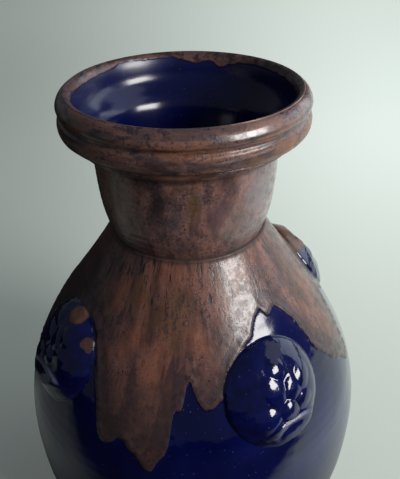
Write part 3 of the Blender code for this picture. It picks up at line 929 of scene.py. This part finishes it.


# What the rust glaze breaks into, where it lies over another coat, how it darkens low on the body, and the
# painted shade in the crease and under the ledge
MAUVE_BLOOM = (0.125, 0.08, 0.084)
OCHRE = (0.11, 0.058, 0.024)
PLUM = (0.024, 0.016, 0.028)
PEPPER = (0.03, 0.017, 0.02)
THIN_DARK = (0.02, 0.013, 0.018)
THIN_MAUVE = (0.118, 0.062, 0.06)
WARM_EDGE = (0.17, 0.066, 0.04)
EDGE_LINE = (0.02, 0.012, 0.026)
LEDGE_SHADE = (0.034, 0.017, 0.014)
FIRST_COAT = (0.036, 0.017, 0.021)
SECOND_COAT_EDGE = (0.2, 0.08, 0.044)
LOW_RUN = (0.028, 0.018, 0.018)
PIT = (0.01, 0.007, 0.012)
CREASE_SHADE = (0.03, 0.016, 0.015)

# The cobalt, deep, pooled and in its flecks, on the sections and on the medallions; the rust glaze there,
# dark, light and along its edge; the leaf's pale edge; and the clay, dark, light and in its grit
COBALT = (0.001, 0.002, 0.029), (0.002, 0.0042, 0.055), (0.04, 0.055, 0.17)
MEDALLION_COBALT = (0.0011, 0.002, 0.027), (0.0024, 0.0044, 0.056), (0.045, 0.06, 0.17)
MEDALLION_RUST = (0.05, 0.025, 0.02), (0.13, 0.058, 0.037), (0.04, 0.02, 0.03)
LEAF_EDGE_REFLECTION = (0.115, 0.125, 0.185)
CLAY = (0.26, 0.165, 0.11), (0.36, 0.25, 0.175), (0.09, 0.055, 0.04)

# The rust glaze on each section: how often its streaks, its fine streaks and its mottles come round, and how
# tall they are in metres; its dark and light, its shares of mauve and plum, and its contrast; then its sheen,
# its least and most roughness, and the haze of its coat
RUST_GLAZES = {
    "body": (
        ((8.5, 0.015), (44, 0.007), (15, 0.007)),
        ((0.05, 0.021, 0.017), (0.218, 0.084, 0.053), 0.34, 0.72, 0.15),
        (0.2, 0.2, 0.44, 0.1),
    ),
    "neck": (
        ((7, 0.01), (36, 0.005), (10, 0.0062)),
        ((0.064, 0.033, 0.031), (0.245, 0.115, 0.088), 0.72, 0.7, 0.11),
        (0.36, 0.18, 0.34, 0.18),
    ),
    "rim": (
        ((1 / 0.026, 0.0032), (1 / 0.008, 0.0011), (1 / 0.0075, 0.0034)),
        ((0.045, 0.023, 0.02), (0.222, 0.09, 0.048), 0.62, 0.95, 0.08),
        (0.35, 0.16, 0.4, 0.1),
    ),
}


def mixed(share, over_share, first, second, over):
    """Two colours mixed by a share, and a third over them by its own."""
    return over_share.blend(share.blend(first, second), over)


def laid_over(colour, *layers):
    """A colour with others laid over it, each by its own share."""
    for share, over in layers:
        colour = share.blend(colour, over)
    return colour


def rust_colour(place, grains, above, tints):
    """The rust glaze: soft orange and brown runs, a mauve bloom, ochre clouds, and plum where it broke."""
    streaks, fine, mottles = grains
    dark, light, mauve, plum, contrast = tints
    broad = streaks.grain(1.0, 21, 1, 0.4)
    thin = fine.grain(1.0, 22, 2, 0.6)
    cloud = place.grain(0.015, 23)
    mottle = mottles.grain(1.0, 24, 3, 0.6)
    speck = place.grain(0.0009, 25, 2, 0.65)
    tone = broad * 0.5 + mottle * 0.25 + thin * 0.25
    bloom = (cloud * 0.35 + mottle * 0.35 + speck * 0.3).above(0.4, 0.6)
    bloom = bloom.most(place.xyz()[2].above(LIP_SEAM, LIP_SEAM + 0.004) * 0.75)
    ochre = place.grain(0.018, 26, 1).above(0.54, 0.7)
    torn = mottles.grain(0.62, 27, 3, 0.7)
    broken = (torn * 0.65 + speck * 0.35).above(0.48, 0.61) * cloud.above(0.34, 0.56)
    ends = 1 - above.above(0.5, 24.0)
    patch = place.grain(0.004, 36, 3, 0.65).above(0.45, 0.58)
    colour = laid_over(
        tone.above(0.49 - contrast, 0.49 + contrast).blend(dark, light),
        (bloom * mauve, MAUVE_BLOOM),
        (ochre * (0.6 - mauve * 0.4), OCHRE),
        (broken * plum, PLUM),
        (speck.above(0.54, 0.66) * 0.45, PEPPER),
        (ends * patch * 0.55 + ends * 0.42, THIN_DARK),
        (ends * (1 - patch) * 0.4, THIN_MAUVE),
        (above.hump(1.1, 0.9) * mottle.above(0.38, 0.58) * 0.5, WARM_EDGE),
        (above.hump(-0.1, 0.8) * 0.8, EDGE_LINE),
    )
    return colour, mottle, thin, broken, cloud


def neck_clouds(place, rust, mottle):
    """The rust glaze on the neck, with its clouds, two of them partly painted light, and a band of painted
    shade under the ledge.
    """
    turn, level = turn_and_level(place)
    sway = place.grain(0.008, 28, 2, 0.6) - 0.5
    grain = place.grain(0.0016, 29, 3, 0.7)
    for middle, half_width, height, half_height, strength, colour in NECK_CLOUDS:
        aside, over = (turn - middle) / half_width, (level - height) / half_height
        reach = (aside * aside + over * over).maths("SQRT") + sway * 1.2
        near = 1 - (reach + grain * 2.2 - 1.1).above(0.15, 1.05)
        rust = (near * strength).blend(rust, colour)
    # Painted shade: a dark band under the ledge at the top of the neck
    under_ledge = (level + sway * 4 - NECK_TOP * 1000).above(-6.4, -4.6)
    return (under_ledge * 0.5 + under_ledge * mottle * 0.2).blend(rust, LEDGE_SHADE)


def glaze(section):
    """Cobalt under a run of rust glaze, as it lies on the body, on the neck or round the rim."""
    material, shader, place = new_material(f"glaze_on_{section}")
    inside = place.node("ShaderNodeAttribute", output="Fac", attribute_name="inside")
    ahead, across, level = place.xyz()
    if section != "rim":
        radius = (ahead * ahead + across * across).maths("SQRT").most(0.001)
        ahead, across = ahead / radius, across / radius
    grains, tints, (sheen, smoothest, roughest, haze) = RUST_GLAZES[section]
    grains = [place.vector(ahead * often, across * often, level / tall) for often, tall in grains]
    above = above_runs(place)
    above = above + (above_lip_runs(place) - above) * inside
    cover = above.above(-0.35, 0.35)
    rust, mottle, thin, broken, cloud = rust_colour(place, grains, above, tints)
    pits = place.spots(0.0048, 0.0007, 0.5, 31)
    satin = 0.0
    if section == "rim":
        satin = level.hump(COLLAR_TOP - BAND_HEIGHT / 2, BAND_HEIGHT * 0.62)
    if section == "neck":
        rust = neck_clouds(place, rust, mottle)
    if section == "body":
        under_crease = (level - NECK_SEAM).above(-0.03, -0.002)
        dashed = place.vector(ahead * 24, across * 24, level / 0.0085)
        dashes = (dashed.grain(1.0, 35, 1) + under_crease * 0.08).above(0.68, 0.75)
        pits = pits.most(dashes * under_crease.above(0.1, 0.5))
        coat = above_upper_coat(place) + (above - 30).above(0, 10) * 20
        low = 1 - level.above(0.134, 0.172)
        rust = laid_over(
            rust,
            ((1 - coat.above(-0.4, 2.0)) * (mottle.above(0.38, 0.6) * 0.45 + 0.3), FIRST_COAT),
            (coat.hump(0.3, 1.3) * mottle.above(0.42, 0.6) * 0.45, SECOND_COAT_EDGE),
            (low * 0.5 + low * cloud.above(0.4, 0.6) * 0.25, LOW_RUN),
        )
    # Painted shade: the glaze darkens in the crease at the foot of the neck, where it is also rougher and
    # loses its coat
    crease = level.hump(NECK_SEAM, 0.003)
    rust = laid_over(rust, (pits * 0.9, PIT), (crease * 0.8, CREASE_SHADE))
    pool = place.grain(0.03, 32)
    blue = mixed(pool.above(0.3, 0.7), place.spots(0.0022, 0.00042, 0.7, 33) * 0.7, *COBALT)
    patchy = place.grain(0.0036, 38, 3, 0.65).above(0.4, 0.58)
    rough = mottle * (roughest - smoothest) + smoothest + crease * 0.25 + satin * 0.12 + (1 - patchy) * 0.08
    gloss = pool * 0.03 + 0.06 + inside * 0.11 + above.above(-14, 1) * 0.1
    dimples = place.grain(0.0026, 37, 3, 0.6) * 0.00012
    texture = (thin * 0.00003 + mottle * 0.0001 + dimples - pits * 0.00003 - broken * 0.00003) * cover
    skin = place.grain(0.005, 34) * 0.00003 + above.above(-0.4, 0.6) * 0.00018
    fill(shader, {
        "Base Color": cover.blend(blue, rust),
        "Roughness": gloss + (rough - gloss) * cover,
        "Coat Weight": cover * (sheen - satin * 0.28) * (1 - crease) * (patchy * 0.9 + 0.3),
        "Coat Roughness": haze,
        "Normal": (texture + skin).bump(),
    })
    return material


def medallion_glaze():
    """Cobalt over the medallions, with a few daubs of the rust glaze on those that it reached."""
    material, shader, place = new_material("glaze_on_medallions")
    above = None
    for turn, level, radius, reach in DAUBS:
        ends = {0: place, 1: around(turn, radius, level)}
        away = place.node("ShaderNodeVectorMath", ends, output="Value", operation="DISTANCE")
        inside = (reach - away) * 1000
        above = inside if above is None else above.most(inside)
    above = above + (place.grain(0.003, 51, 3, 0.6) - 0.5) * 5
    cover = above.above(-0.4, 0.4)
    pool = place.grain(0.006, 52, 3)
    rust = mixed(pool.above(0.35, 0.65), above.hump(0.2, 1.2) * 0.6, *MEDALLION_RUST)
    blue = mixed(pool.above(0.3, 0.7), place.spots(0.0024, 0.00045, 0.4, 53) * 0.7, *MEDALLION_COBALT)
    edge = place.node("ShaderNodeAttribute", output="Fac", attribute_name="leaf_edge")
    # Painted reflection: the leaf's raised edge is paled as if it mirrored the pale wall above
    blue = (edge.above(0.35, 0.95) * pool.above(0.25, 0.5) * 0.6).blend(blue, LEAF_EDGE_REFLECTION)
    fill(shader, {
        "Base Color": cover.blend(blue, rust),
        "Roughness": cover * 0.26 + edge.above(0.2, 0.6) * 0.3 + 0.1,
        "Normal": (place.grain(0.002, 54) * 0.00005).bump(),
    })
    return material


def bare_clay():
    """Fired stoneware without glaze, buff and gritty."""
    material, shader, place = new_material("bare_clay")
    cloud = place.grain(0.012, 41, 4, 0.6)
    fill(shader, {
        "Base Color": mixed(cloud.above(0.35, 0.65), place.spots(0.0016, 0.0003, 0.5, 42) * 0.7, *CLAY),
        "Roughness": cloud * 0.2 + 0.72,
        "Normal": (place.grain(0.0012, 43, 3, 0.6) * 0.00012).bump(),
    })
    return material


def turned_pieces():
    """The skins of the thrown sections, each in place of its solid."""
    skin = turned_skin_tree()
    on_body, on_neck, on_rim = (glaze(section) for section in ("body", "neck", "rim"))
    labels = "Steps round", "Ring depth", "Ring spacing", "Unevenness", "Lump depth", "Run depth", "Glaze"
    sections = (
        ("body", body_outline(), "cobalt_glaze", (380, 0.00005, 0.0052, 0.0004, 0.00024, 0.0003, on_body)),
        ("neck", neck_outline(), "rust_glaze", (300, 0.00015, 0.0036, 0.0004, 0.00024, 0.0, on_neck)),
        ("collar", collar_outline(), "rust_glaze", (360, 0.00022, 0.0027, 0.0004, 0.00024, 0.0, on_rim)),
        ("lip", lip_outline(), "rust_glaze", (360, 0.00008, 0.003, 0.0004, 0.00024, 0.0, on_rim)),
        ("foot_ring", foot_outline(), "bare_clay", (180, 0.0001, 0.0024, 0.0003, 0.0001, 0.0, bare_clay())),
    )
    made = {}
    for node, outline, slot, values in sections:
        piece = made_by(skin, f"skin_{node}", outline, dict(zip(labels, values)))
        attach(piece, "root")
        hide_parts(node)
        made[node] = piece
    return made


def seat_on_shoulder(share):
    """The place at a share of the shoulder's curve, as radius and height, and its outward way."""
    corners = shoulder_corners(BELLY_RADIUS, MOUTH_RADIUS)
    legs = [(end[0] - start[0], end[1] - start[1]) for start, end in zip(corners, corners[1:])]
    rest = 1 - share
    run = weighted((rest**2, 2 * rest * share, share**2), legs)
    return cubic_at(corners, share), Vector((-run[1], run[0])).normalized()


def medallion_pieces(body):
    """The four medallions round the shoulder, each in place of its solid."""
    tree = medallion_tree()
    finish = medallion_glaze()
    for number, (turn, share, heart_across, heart_up, flower_turn) in enumerate(MEDALLIONS, 1):
        (radius, level), out = seat_on_shoulder(share)
        swing = Matrix.Rotation(math.radians(turn), 3, "Z")
        values = {
            "Steps round": MEDALLION_STEPS,
            "Body": body,
            "Seat": list(swing @ Vector((0, -radius, level))),
            "Across": list(swing @ Vector((1, 0, 0))),
            "Up": list(swing @ Vector((0, out.y, out.x))),
            "Outward": list(swing @ Vector((0, -out.x, out.y))),
            "Heart across": heart_across,
            "Heart up": heart_up,
            "Flower turn": flower_turn,
            "Lump depth": 0.0003,
            "Glaze": finish,
        }
        node = f"medallion_{number}"
        piece = made_by(tree, f"rosette_{node}", medallion_outline(), values)
        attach(piece, "root")
        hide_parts(node)


camera()
studio()
skins = turned_pieces()
medallion_pieces(skins["body"])
